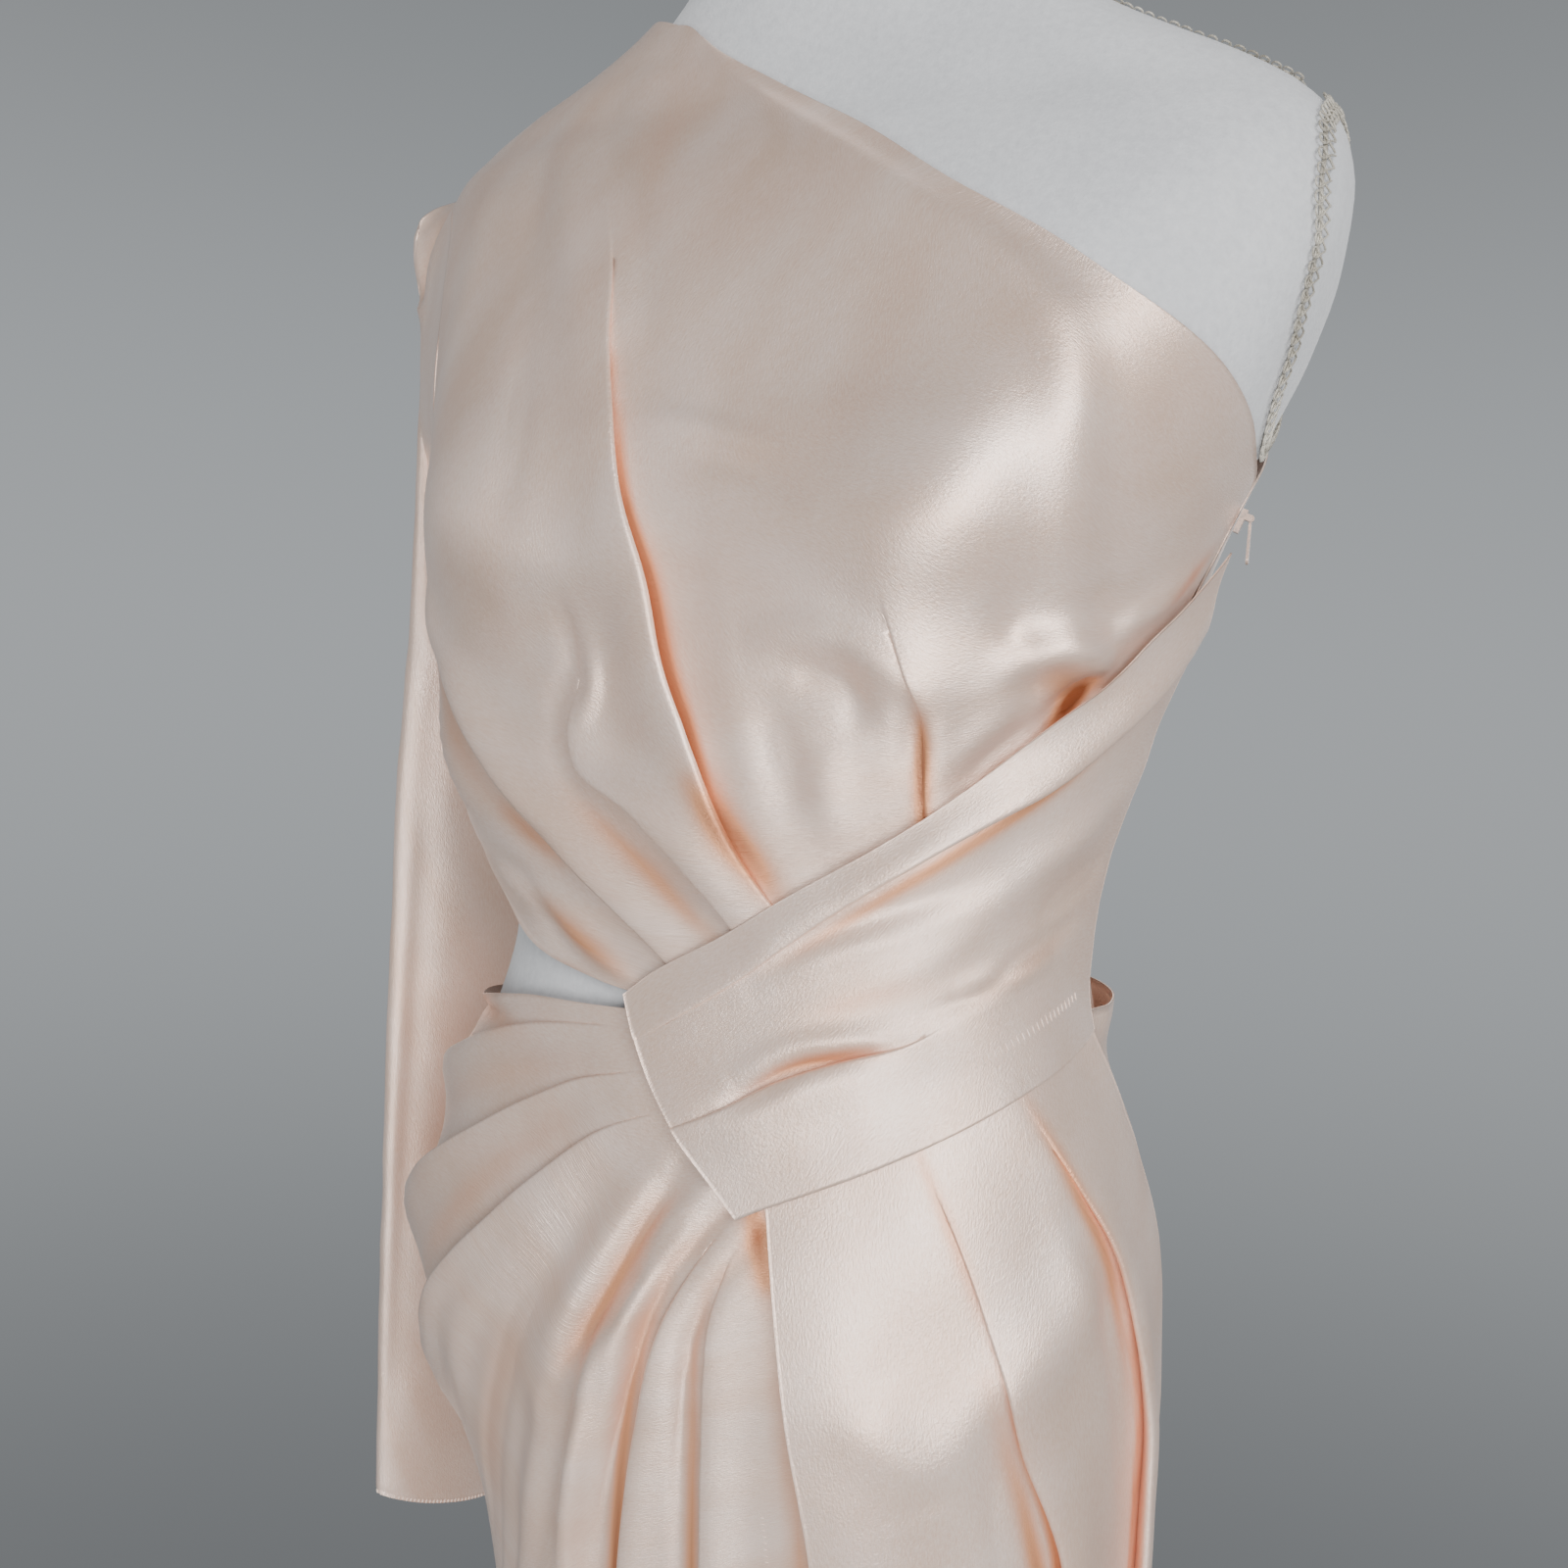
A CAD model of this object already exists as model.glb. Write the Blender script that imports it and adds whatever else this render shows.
import math

import bpy
import numpy as np
from mathutils import Matrix, Vector, noise
from mathutils.bvhtree import BVHTree


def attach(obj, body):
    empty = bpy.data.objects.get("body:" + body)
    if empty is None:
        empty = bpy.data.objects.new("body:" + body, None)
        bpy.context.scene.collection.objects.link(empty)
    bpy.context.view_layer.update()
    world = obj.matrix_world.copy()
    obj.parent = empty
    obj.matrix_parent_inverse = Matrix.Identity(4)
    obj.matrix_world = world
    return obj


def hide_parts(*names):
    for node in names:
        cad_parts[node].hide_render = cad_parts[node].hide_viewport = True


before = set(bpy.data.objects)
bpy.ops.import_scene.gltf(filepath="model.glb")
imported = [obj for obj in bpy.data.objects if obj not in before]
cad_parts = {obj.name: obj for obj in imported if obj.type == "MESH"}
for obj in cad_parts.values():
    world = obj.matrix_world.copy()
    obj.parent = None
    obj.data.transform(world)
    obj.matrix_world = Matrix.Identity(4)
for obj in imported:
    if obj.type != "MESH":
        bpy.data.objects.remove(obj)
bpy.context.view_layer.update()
BODY = "dress_and_form"
MM = 0.001


# Dress form: a foam torso of a small women's size, moulded in one piece and covered with
# white cotton jersey that is pulled tight and slightly napped. Its sections are in mm:
# height, half width left and right, depth to the front and back, and the middle's offset.
FORM = [
    (800, 104, 104, 76, 104, 4), (835, 117, 117, 85, 113, 3), (872, 131, 131, 92, 119, 2),
    (930, 143, 143, 97, 112, 1), (1000, 134, 134, 92, 92, 0), (1066, 117, 117, 86, 80, 0),
    (1105, 120, 120, 88, 80, 0), (1143, 128, 128, 93, 85, 2), (1181, 139, 139, 97, 90, 4),
    (1220, 151, 151, 99, 95, 5), (1250, 162, 162, 97, 98, 6), (1272, 172, 172, 94, 98, 7),
    (1300, 184, 184, 90, 96, 8), (1330, 192, 192, 82, 92, 9), (1355, 194, 194, 72, 86, 10),
    (1374, 190, 190, 61, 78, 11), (1389, 178, 178, 51, 68, 12), (1402, 158, 158, 46, 60, 12),
    (1416, 130, 130, 43, 54, 13), (1430, 104, 104, 42, 50, 14), (1446, 83, 83, 44, 48, 14),
    (1464, 69, 69, 47, 48, 13), (1490, 61, 61, 50, 50, 10), (1530, 57, 57, 52, 52, 6),
]
BODY_END, NECK_TOP = 800.0, 1530.0
SQUARE = 0.035        # how far a section departs from an ellipse towards a rounded box
BUST_DEPTH, BUST_TURN, BUST_HEIGHT = 26.0, 36.0, 1228.0
BUST_WIDE, BUST_UP, BUST_DOWN = 20.0, 60.0, 38.0


def smooth(stations, values, at):
    """Monotone cubic through (stations, values), read at the places `at`."""
    xs, ys = np.asarray(stations, float), np.asarray(values, float)
    step = np.diff(xs)
    slope = np.diff(ys) / step
    tangent = np.zeros_like(ys)
    same = slope[:-1] * slope[1:] > 0
    both = slope[:-1] + slope[1:]
    tangent[1:-1] = np.where(same, 2 * slope[:-1] * slope[1:] / np.where(same, both, 1), 0)
    tangent[0], tangent[-1] = slope[0], slope[-1]
    at = np.clip(np.asarray(at, float), xs[0], xs[-1])
    k = np.clip(np.searchsorted(xs, at) - 1, 0, len(step) - 1)
    t, h = (at - xs[k]) / step[k], step[k]
    near = (1 + 2 * t) * (1 - t) ** 2 * ys[k] + t * (1 - t) ** 2 * h * tangent[k]
    far = t * t * (3 - 2 * t) * ys[k + 1] + t * t * (t - 1) * h * tangent[k + 1]
    return near + far


def figure(table, turn, height):
    """Points of the figure that a section table describes, by turn and height."""
    turn, height = np.broadcast_arrays(np.asarray(turn, float), np.asarray(height, float))
    rows = np.array(table, float)
    left, right, front, back, middle = (smooth(rows[:, 0], rows[:, k], height)
                                        for k in range(1, 6))
    a = np.radians(turn)
    across = (1 + SQUARE) * np.sin(a) + SQUARE * np.sin(3 * a)
    ahead = (1 + SQUARE) * np.cos(a) - SQUARE * np.cos(3 * a)
    fold = np.abs((turn + 180) % 360 - 180)
    reach = np.where(height > BUST_HEIGHT, BUST_UP, BUST_DOWN)
    bust = BUST_DEPTH * np.exp(-((fold - BUST_TURN) / BUST_WIDE) ** 2)
    bust = bust * np.exp(-((height - BUST_HEIGHT) / reach) ** 2)
    x = across * np.where(across < 0, left, right)
    y = middle - ahead * np.where(ahead > 0, front + bust, back)
    return np.stack([x, y, height], -1)


def outward(table, turn, height):
    """Unit normals of the figure, pointing away from the body."""
    around = figure(table, turn + 0.5, height) - figure(table, turn - 0.5, height)
    up = figure(table, turn, height + 2) - figure(table, turn, height - 2)
    normal = np.cross(around, up)
    return normal / np.linalg.norm(normal, axis=-1, keepdims=True)


def linear(code):
    """An sRGB hex colour as the linear values that a shader takes."""
    parts = [int(code[k:k + 2], 16) / 255 for k in (0, 2, 4)]
    return (*[c / 12.92 if c <= 0.04045 else ((c + 0.055) / 1.055) ** 2.4 for c in parts], 1)


def add(tree, kind, settings=None, inputs=None):
    """Add a node with its settings; an input is a value or another node's output."""
    made = tree.nodes.new(kind)
    for key, value in (settings or {}).items():
        setattr(made, key, value)
    for key, value in (inputs or {}).items():
        if isinstance(value, bpy.types.NodeSocket):
            tree.links.new(value, made.inputs[key])
        else:
            made.inputs[key].default_value = value
    return made


def new_material(name, **values):
    """A Principled material; each value is set on the socket of that name."""
    material = bpy.data.materials.new(name)
    material.use_nodes = True
    tree = material.node_tree
    shader = tree.nodes["Principled BSDF"]
    for key, value in values.items():
        shader.inputs[key.replace("_", " ")].default_value = value
    return material, tree, shader


def shade_between(tree, factor, low, high, dark, light):
    """Colour that runs from dark to light as factor goes from low to high."""
    span = add(tree, "ShaderNodeMapRange", inputs={"Value": factor, "From Min": low,
                                                   "From Max": high})
    mixed = add(tree, "ShaderNodeMix", {"data_type": "RGBA"},
                {0: span.outputs[0], 6: linear(dark), 7: linear(light)})
    return mixed.outputs[2]


def stacked(name, rings, material, node):
    """A smooth solid of stacked rings in mm, closed by a fan at both ends, for a CAD node."""
    count, sides = rings.shape[:2]
    last, total = (count - 1) * sides, count * sides
    faces = [(j * sides + i, j * sides + (i + 1) % sides, (j + 1) * sides + (i + 1) % sides,
              (j + 1) * sides + i) for j in range(count - 1) for i in range(sides)]
    faces += [((i + 1) % sides, i, total) for i in range(sides)]
    faces += [(last + i, last + (i + 1) % sides, total + 1) for i in range(sides)]
    ends = [rings[0].mean(axis=0), rings[-1].mean(axis=0)]
    points = np.concatenate([rings.reshape(-1, 3), ends]) * MM
    mesh = bpy.data.meshes.new(name)
    mesh.from_pydata(points.tolist(), [], faces)
    mesh.validate()
    mesh.shade_smooth()
    mesh.materials.append(material)
    made = bpy.data.objects.new(name, mesh)
    bpy.context.scene.collection.objects.link(made)
    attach(made, BODY)
    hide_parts(node)


jersey, tree, shader = new_material("Cotton jersey, white, napped", Roughness=0.92,
                                    Sheen_Weight=0.35, Sheen_Roughness=0.55)
# The nap is short cotton fuzz: it scatters light, so the white stays flat, with faint
# clumps 3 mm across. The knit's own 0.5 mm rows are too fine to show and drawn as 1.2 mm.
place = add(tree, "ShaderNodeTexCoord").outputs["Object"]
clumps = add(tree, "ShaderNodeTexNoise", inputs={"Vector": place, "Scale": 1 / 0.003,
                                                 "Detail": 3.0, "Roughness": 0.6})
broad = add(tree, "ShaderNodeTexNoise", inputs={"Vector": place, "Scale": 1 / 0.06})
mixed = add(tree, "ShaderNodeMath", {"operation": "ADD"},
            {0: clumps.outputs["Fac"], 1: broad.outputs["Fac"]})
tree.links.new(shade_between(tree, mixed.outputs[0], 0.7, 1.3, "C3C4C7", "D6D7D9"),
               shader.inputs["Base Color"])
rows_of_knit = add(tree, "ShaderNodeTexNoise", inputs={"Vector": place, "Scale": 1 / 0.0012,
                                                       "Detail": 2.0})
nap = add(tree, "ShaderNodeBump", inputs={"Strength": 0.5, "Distance": 0.0004,
                                          "Height": rows_of_knit.outputs["Fac"]})
tree.links.new(nap.outputs[0], shader.inputs["Normal"])

FORM_SIDES, FORM_ROWS = 160, 150
FOOT_EDGE = [(0, 0.88), (3, 0.93), (8, 0.975), (16, 1.0), (800, 1.0)]   # round lower edge
levels = np.concatenate([BODY_END + np.array([0, 1.5, 3, 5, 8, 12]),
                         np.linspace(BODY_END + 16, NECK_TOP - 4, FORM_ROWS),
                         NECK_TOP - np.array([2.5, 1, 0])])
rings = figure(FORM, np.arange(FORM_SIDES)[None] * 360 / FORM_SIDES, levels[:, None])
drawn = np.interp(levels - BODY_END, *zip(*FOOT_EDGE))[:, None, None]
middle = rings.mean(axis=1, keepdims=True)
rings[:, :, :2] = (middle + (rings - middle) * drawn)[:, :, :2]
stacked("form_jersey", rings, jersey, "form_body")


# Neck cap and stand: a powder coated steel cap, flange, pole, hub and round base. They are
# turned on a lathe and coated white, so they have small round edges and a faint orange peel.
enamel, tree, shader = new_material("Powder coated steel, white", Roughness=0.42,
                                    Base_Color=linear("E4E4E2"))
place = add(tree, "ShaderNodeTexCoord").outputs["Object"]
peel = add(tree, "ShaderNodeTexNoise", inputs={"Vector": place, "Scale": 1 / 0.0025,
                                               "Detail": 2.0})
bump = add(tree, "ShaderNodeBump", inputs={"Strength": 0.25, "Distance": 0.0002,
                                           "Height": peel.outputs["Fac"]})
tree.links.new(bump.outputs[0], shader.inputs["Normal"])
TURNED_SIDES = 96
TOUCH = 0.3           # gap between parts that stand on one another
FLANGE_THICK, FLANGE_RADIUS, POLE_RADIUS = 8.0, 45.0, 14.0
HUB_RADIUS, HUB_TOP, BASE_RADIUS, BASE_THICK = 32.0, 46.0, 160.0, 16.0
POLE_TOP = BODY_END - FLANGE_THICK - 2 * TOUCH


def rounded(profile, steps=4):
    """Round the corners of a (radius, height, corner radius) profile."""
    out = []
    for k, (radius, height, bend) in enumerate(profile):
        spot = Vector((radius, height))
        if bend == 0 or k in (0, len(profile) - 1):
            out.append(spot)
            continue
        before = (Vector(profile[k - 1][:2]) - spot).normalized() * bend
        after = (Vector(profile[k + 1][:2]) - spot).normalized() * bend
        out += [spot + before * (1 - n / steps) ** 2 + after * (n / steps) ** 2
                for n in range(steps + 1)]
    return out


def lathe(name, node, profile, outline=None, centre=0):
    """Turn a profile round the pole, or scale an outline by the profile's radii."""
    angles = np.arange(TURNED_SIDES) * 2 * math.pi / TURNED_SIDES
    outline = np.stack([np.cos(angles), np.sin(angles)], -1) if outline is None else outline
    rings = [np.column_stack([centre + outline * spot.x, np.full(TURNED_SIDES, spot.y)])
             for spot in rounded(profile)]
    stacked(name, np.array(rings), enamel, node)


lathe("base_plate", "stand_base", [
    (BASE_RADIUS - 2, 0, 0), (BASE_RADIUS, 2, 1), (BASE_RADIUS, BASE_THICK - 5, 3),
    (BASE_RADIUS - 5, BASE_THICK, 3), (BASE_RADIUS - 40, BASE_THICK, 0)])
lathe("pole_hub", "stand_hub", [
    (HUB_RADIUS, BASE_THICK + TOUCH, 0), (HUB_RADIUS, BASE_THICK + 6, 2),
    (HUB_RADIUS - 4, BASE_THICK + 10, 3), (HUB_RADIUS - 6, HUB_TOP - 1, 0.5),
    (POLE_RADIUS + 1, HUB_TOP, 0)])
lathe("pole_tube", "stand_pole", [
    (POLE_RADIUS, HUB_TOP + TOUCH, 0), (POLE_RADIUS, 420, 0), (POLE_RADIUS, POLE_TOP, 0)])
lathe("flange_plate", "form_flange", [
    (FLANGE_RADIUS - 12, POLE_TOP + TOUCH, 0), (FLANGE_RADIUS, POLE_TOP + 4, 1.5),
    (FLANGE_RADIUS, BODY_END - TOUCH, 0)])
oval = figure(FORM, 90 + np.arange(TURNED_SIDES) * 360 / TURNED_SIDES, NECK_TOP)[:, :2]
lathe("cap_plate", "neck_cap", [
    (0.93, NECK_TOP + TOUCH, 0), (0.97, NECK_TOP + 2.5, 0.01), (0.97, NECK_TOP + 6.5, 0.02),
    (0.92, NECK_TOP + 9, 0.02), (0.5, NECK_TOP + 9, 0)], oval - oval.mean(axis=0), oval.mean(axis=0))


# Satin: a heavy polyester duchess satin in pale blush. Its warp threads float over the weft
# and lie side by side like fibre, which gives the broad whitish lustre along the cut's
# length. Light that bounces inside a fold comes out warm, because the dye is warm.
satin, tree, shader = new_material(
    "Duchess satin, blush", Roughness=0.36, Metallic=0.5, Anisotropic=0.5, Sheen_Weight=0.1,
    Sheen_Roughness=0.4)
# Threads are 0.08 mm apart, too fine to show: the slub is drawn 0.8 mm by 3 mm.
cut = add(tree, "ShaderNodeUVMap", {"uv_map": "cut"}).outputs[0]
threads = add(tree, "ShaderNodeMapping", inputs={"Vector": cut, "Scale": (1 / 0.0008, 1 / 0.003, 1)})
slub = add(tree, "ShaderNodeTexNoise", inputs={"Vector": threads.outputs[0], "Scale": 1.0,
                                               "Detail": 3.0, "Roughness": 0.65})
dye = add(tree, "ShaderNodeTexNoise", inputs={"Vector": cut, "Scale": 1 / 0.05, "Detail": 2.0})
mixed = add(tree, "ShaderNodeMath", {"operation": "ADD"},
            {0: slub.outputs["Fac"], 1: dye.outputs["Fac"]})
dyed = shade_between(tree, mixed.outputs[0], 0.75, 1.25, "EFCDB8", "FCE4D6")
# Where the cloth lies under a fold, light reaches it only through and off satin, which warms.
shelter = add(tree, "ShaderNodeAttribute", {"attribute_name": "shelter"}).outputs["Fac"]
half = add(tree, "ShaderNodeMapRange", inputs={"Value": shelter, "From Max": 0.75})
warm = add(tree, "ShaderNodeMix", {"data_type": "RGBA"},
           {0: half.outputs[0], 6: dyed, 7: linear("EBA77C")})
full = add(tree, "ShaderNodeMapRange", inputs={"Value": shelter, "From Min": 0.75,
                                               "From Max": 1.3})
deepest = add(tree, "ShaderNodeMix", {"data_type": "RGBA"},
              {0: full.outputs[0], 6: warm.outputs[2], 7: linear("96532F")})
tree.links.new(deepest.outputs[2], shader.inputs["Base Color"])
crepe = add(tree, "ShaderNodeTexNoise", inputs={"Vector": cut, "Scale": 1 / 0.0011, "Detail": 3.0,
                                                "Roughness": 0.7})
grain = add(tree, "ShaderNodeMath", {"operation": "ADD"},
            {0: slub.outputs["Fac"], 1: crepe.outputs["Fac"]})
bump = add(tree, "ShaderNodeBump", inputs={"Strength": 0.6, "Distance": 0.0003,
                                           "Height": grain.outputs[0]})
tree.links.new(bump.outputs[0], shader.inputs["Normal"])
warp = add(tree, "ShaderNodeTangent", {"direction_type": "UV_MAP", "uv_map": "cut"})
tree.links.new(warp.outputs[0], shader.inputs["Tangent"])


# Bodice front: one panel cut on the bias that hangs from the sleeved shoulder, draped over
# the bust with a deep knife pleat from the shoulder, and pleated into the sash. The dress's
# own sections, in mm as the form's, stand off it where the cloth hangs free.
DRESS = [
    (430, 104, 152, 84, 126, 2), (650, 102, 154, 83, 128, 2), (760, 107, 156, 85, 132, 2),
    (820, 119, 157, 90, 136, 2), (860, 135, 157, 96, 137, 2), (892, 147, 157, 100, 135, 2),
    (925, 158, 156, 102, 129, 1), (958, 153, 153, 101, 119, 1), (1000, 141, 142, 96, 104, 0),
    (1040, 125, 125, 91, 89, 0), (1066, 123, 120, 89, 84, 0), (1090, 137, 121, 90, 83, 0),
    (1112, 153, 124, 92, 84, 0), (1143, 164, 131, 96, 88, 2), (1181, 170, 142, 100, 93, 4),
    (1220, 173, 154, 102, 98, 5), (1250, 176, 165, 100, 102, 6), (1272, 182, 175, 97, 103, 7),
    (1300, 188, 187, 93, 101, 8), (1331, 195, 195, 85, 97, 9), (1357, 197, 197, 75, 89, 10),
    (1377, 193, 193, 64, 81, 11), (1392, 181, 181, 54, 71, 12), (1405, 161, 161, 49, 63, 12),
    (1419, 133, 133, 46, 57, 13), (1433, 107, 107, 45, 53, 14), (1449, 86, 86, 47, 51, 14),
]
HEM = 430.0           # height of the skirt's hem
WAIST = 1052.0        # height of the skirt's top edge at the back
SEAM = 0.1            # half of the gap at a seam, in degrees of turn
CLOTH = 0.7           # thickness of the satin, turned in at its edges
PER_GAP = 6           # fine samples of a row between two guide lines
APART = 1e-4          # least distance between two of them, where guide lines meet
TUCK_ROOM = 0.3       # share of the gap to the next guide that a tuck may take up
ROLL_STEPS = 10       # steps round the folded edge of a pleat
BULGE, TUCK = 0.42, 1.5    # a folded edge's overhang and its return, as shares of its lift
STAND_REACH = 0.025   # share of a guide line over which a standing edge comes back
STAND_CORNER, STAND_LOW = 16.0, 0.3    # how near the last guide it is low, and its share there
LAP_SHARES = [0, 0.2, 1]    # places along a guide line at which a lap's lifts hold
LAP_REACH = 40.0      # how far in from an edge a lap or a standing top reaches
DEEPEST = -1.2        # no trough goes deeper than this, so the cloth clears the form
SHADE_FALL = 2.4      # how fast a fold's warm shade ends beside it, per mm of its lift
DEEP_FOLD = 8.0       # a point this far below the folds round it has the full warm shade
DEEPENS = 1.5         # power by which the shade deepens towards that
DEGREE = 2.2          # mm of cloth to a degree of turn, where a guide line is measured
TRACE = 20            # points that a crease's line is read at
CREASE_REACH = 2.6    # how many widths off its line a crease still lifts the cloth
CREASE_ENDS, CREASE_FADE = 0.03, 0.8    # how near its ends it stops, and how it fades to them
RUMPLE = 38.0         # wavelength of the cloth's rumples
CRISP_FROM, CRISP_OVER = 1.0, 4.0    # a fold lower than the first is a soft ridge
LAID = 3.0            # how far such a soft fold's turned points spread over the cloth
SETTLE = 4            # how many times each point is eased towards those above and below


def distance_along(points):
    """How far each point of a row is from its first, along the row."""
    return np.concatenate([[0], np.cumsum(np.linalg.norm(np.diff(points, axis=0), axis=1))])


def guide(line, count):
    """Read a guide line of (turn, height) points at `count` even steps of its length."""
    line = np.array(line, float)
    station = distance_along(line * (DEGREE, 1))
    at = np.linspace(0, station[-1], count)
    return smooth(station, line[:, 0], at), smooth(station, line[:, 1], at)


def crease_lift(spots, creases):
    """Lift of hand placed creases, each (lift, width, line), fading out at both ends."""
    total = np.zeros(spots.shape[:2])
    for height_of, width, line in creases:
        trace = figure(DRESS, *guide(line, TRACE))
        reach = CREASE_REACH * width
        near = np.all((spots > trace.min(axis=0) - reach) & (spots < trace.max(axis=0) + reach),
                      axis=2)
        start, run = trace[:-1], np.diff(trace, axis=0)
        offset = spots[near][:, None] - start
        share = np.clip((offset * run).sum(axis=2) / (run ** 2).sum(axis=1), 0, 1)
        far = np.linalg.norm(offset - share[:, :, None] * run, axis=2)
        k = far.argmin(axis=1)
        along = (k + share[np.arange(len(k)), k]) / (TRACE - 1)
        fade = np.sin(np.pi * np.clip(along, CREASE_ENDS, 1 - CREASE_ENDS)) ** CREASE_FADE
        total[near] += height_of * fade * np.exp(-(far.min(axis=1) / width) ** 2)
    return total


def rumple(spots, scale, height):
    """Low uneven rumples of the cloth, of a given wavelength and height."""
    flat = (spots.reshape(-1, 3) / scale).tolist()
    values = [noise.noise(Vector(p)) + 0.5 * noise.noise(Vector(p) * 2.3) for p in flat]
    return np.array(values).reshape(spots.shape[:2]) * height


def drape(rows, count, columns, layer=0.0, lapped=(0, 0, 0), stand=0.0, creases=(),
          warmth=(), rumpled=0.35):
    """Loft cloth through guide lines. `rows` is a list of (lift, width, fall, line): the
    fold that stands on the guide, its height at even steps from start to end, how wide,
    and which way its folded edge faces (1 on, -1 back, 0 a soft ridge). At a folded edge
    the cloth rolls over and returns under itself. `columns` gives the columns between each
    guide and the next, `lapped` adds lift along the first guide, and `stand` adds it along
    the first row but for that guide's corner. `warmth` lists where light reaches the cloth
    only off the next fold, as (share, width, line)."""
    lines = [guide(row[3], count) for row in rows]
    turns = np.array([line[0] for line in lines])
    heights = np.array([line[1] for line in lines])
    marks = np.arange(len(rows))
    fine = np.linspace(0, len(rows) - 1, (len(rows) - 1) * PER_GAP + 1)
    roll = np.linspace(0, math.pi, ROLL_STEPS + 2)[1:-1]
    grid_turn, grid_height, grid_lift, grid_deep = [], [], [], []
    for j in range(count):
        along = j / (count - 1)
        turn = smooth(marks, turns[:, j], fine)
        height = smooth(marks, heights[:, j], fine)
        line = figure(DRESS, turn, height)
        run = distance_along(line) + np.arange(len(line)) * APART
        at_guide = run[::PER_GAP]
        sizes = [float(smooth(np.linspace(0, 1, len(row[0])), row[0], along)) for row in rows]
        crisp = np.clip((np.array(sizes) - CRISP_FROM) / CRISP_OVER, 0, 1)
        crisp = crisp ** 2 * (3 - 2 * crisp)
        places, sides, shares = [], [], []
        for k, number in enumerate(columns):
            room = (at_guide[k + 1] - at_guide[k]) * TUCK_ROOM
            tuck = [min(TUCK * sizes[m], room) * crisp[m] for m in (k, k + 1)]
            laid = [LAID * (1 - crisp[m]) for m in (k, k + 1)]
            back = [tuck[0] - laid[0], tuck[1] - laid[1]]
            start = at_guide[k] - (back[0] if rows[k][2] == 1 else 0)
            stop = at_guide[k + 1] + (back[1] if rows[k + 1][2] == -1 else 0)
            inner = np.linspace(start, stop, number + 1)
            open_end = rows[k + 1][2] == 0 and k < len(columns) - 1
            inner = inner[:-1] if open_end else inner
            places.extend(inner)
            sides.extend([k + 0.5] * len(inner))
            shares.extend([-1.0] * len(inner))
            fall = rows[k + 1][2]
            if fall:
                turned = roll if fall == 1 else roll[::-1]
                over = crisp[k + 1] * BULGE * sizes[k + 1] * np.sin(turned)
                over = over - tuck[1] * (1 - np.cos(turned)) / 2 + laid[1] * turned / math.pi
                places.extend(at_guide[k + 1] + fall * over)
                sides.extend([k + 1.0] * ROLL_STEPS)
                shares.extend((1 + np.cos(turned)) / 2)
        places, sides, shares = np.array(places), np.array(sides), np.array(shares)
        lift = np.zeros(len(places))
        for k, row in enumerate(rows):
            shape = np.exp(-((places - at_guide[k]) / row[1]) ** 2)
            if row[2]:
                folded = np.where((sides - k) * row[2] > 0, 0, shape)
                folded = np.where(sides == k, shares, folded)
                shape = shape + (folded - shape) * crisp[k]
            lift += sizes[k] * shape
        lift += smooth(LAP_SHARES, lapped, along) * np.exp(-(places / LAP_REACH) ** 2)
        corner = np.minimum(places / LAP_REACH, STAND_LOW + (places[-1] - places) / STAND_CORNER)
        lift += stand * np.exp(-(along / STAND_REACH) ** 2) * np.clip(corner, 0, 1)
        grid_turn.append(np.interp(places, run, turn))
        grid_height.append(np.interp(places, run, height))
        grid_lift.append(lift)
        reach = lift[None] - SHADE_FALL * np.abs(places[:, None] - places[None])
        grid_deep.append(np.clip((reach.max(axis=1) - lift) / DEEP_FOLD, 0, 1) ** DEEPENS)
    turn, height, lift = np.array(grid_turn), np.array(grid_height), np.array(grid_lift)
    for _ in range(SETTLE):
        for grid in (turn, height, lift):
            grid[1:-1] += (grid[:-2] + grid[2:] - 2 * grid[1:-1]) / 4
    spots = figure(DRESS, turn, height)
    creased = crease_lift(spots, creases)
    deep = np.maximum(grid_deep, crease_lift(spots, warmth))
    lift = np.maximum(lift + creased + rumple(spots, RUMPLE, rumpled), DEEPEST)
    return spots + outward(DRESS, turn, height) * (layer + lift)[:, :, None], deep


def normals(grid, closed):
    """Unit normals of a grid of points, rows down and columns round."""
    wide = np.gradient(grid, axis=1)
    if closed:
        wide = np.roll(grid, -1, axis=1) - np.roll(grid, 1, axis=1)
    normal = np.cross(wide, np.gradient(grid, axis=0))
    return normal / np.maximum(np.linalg.norm(normal, axis=-1, keepdims=True), 1e-9)


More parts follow.
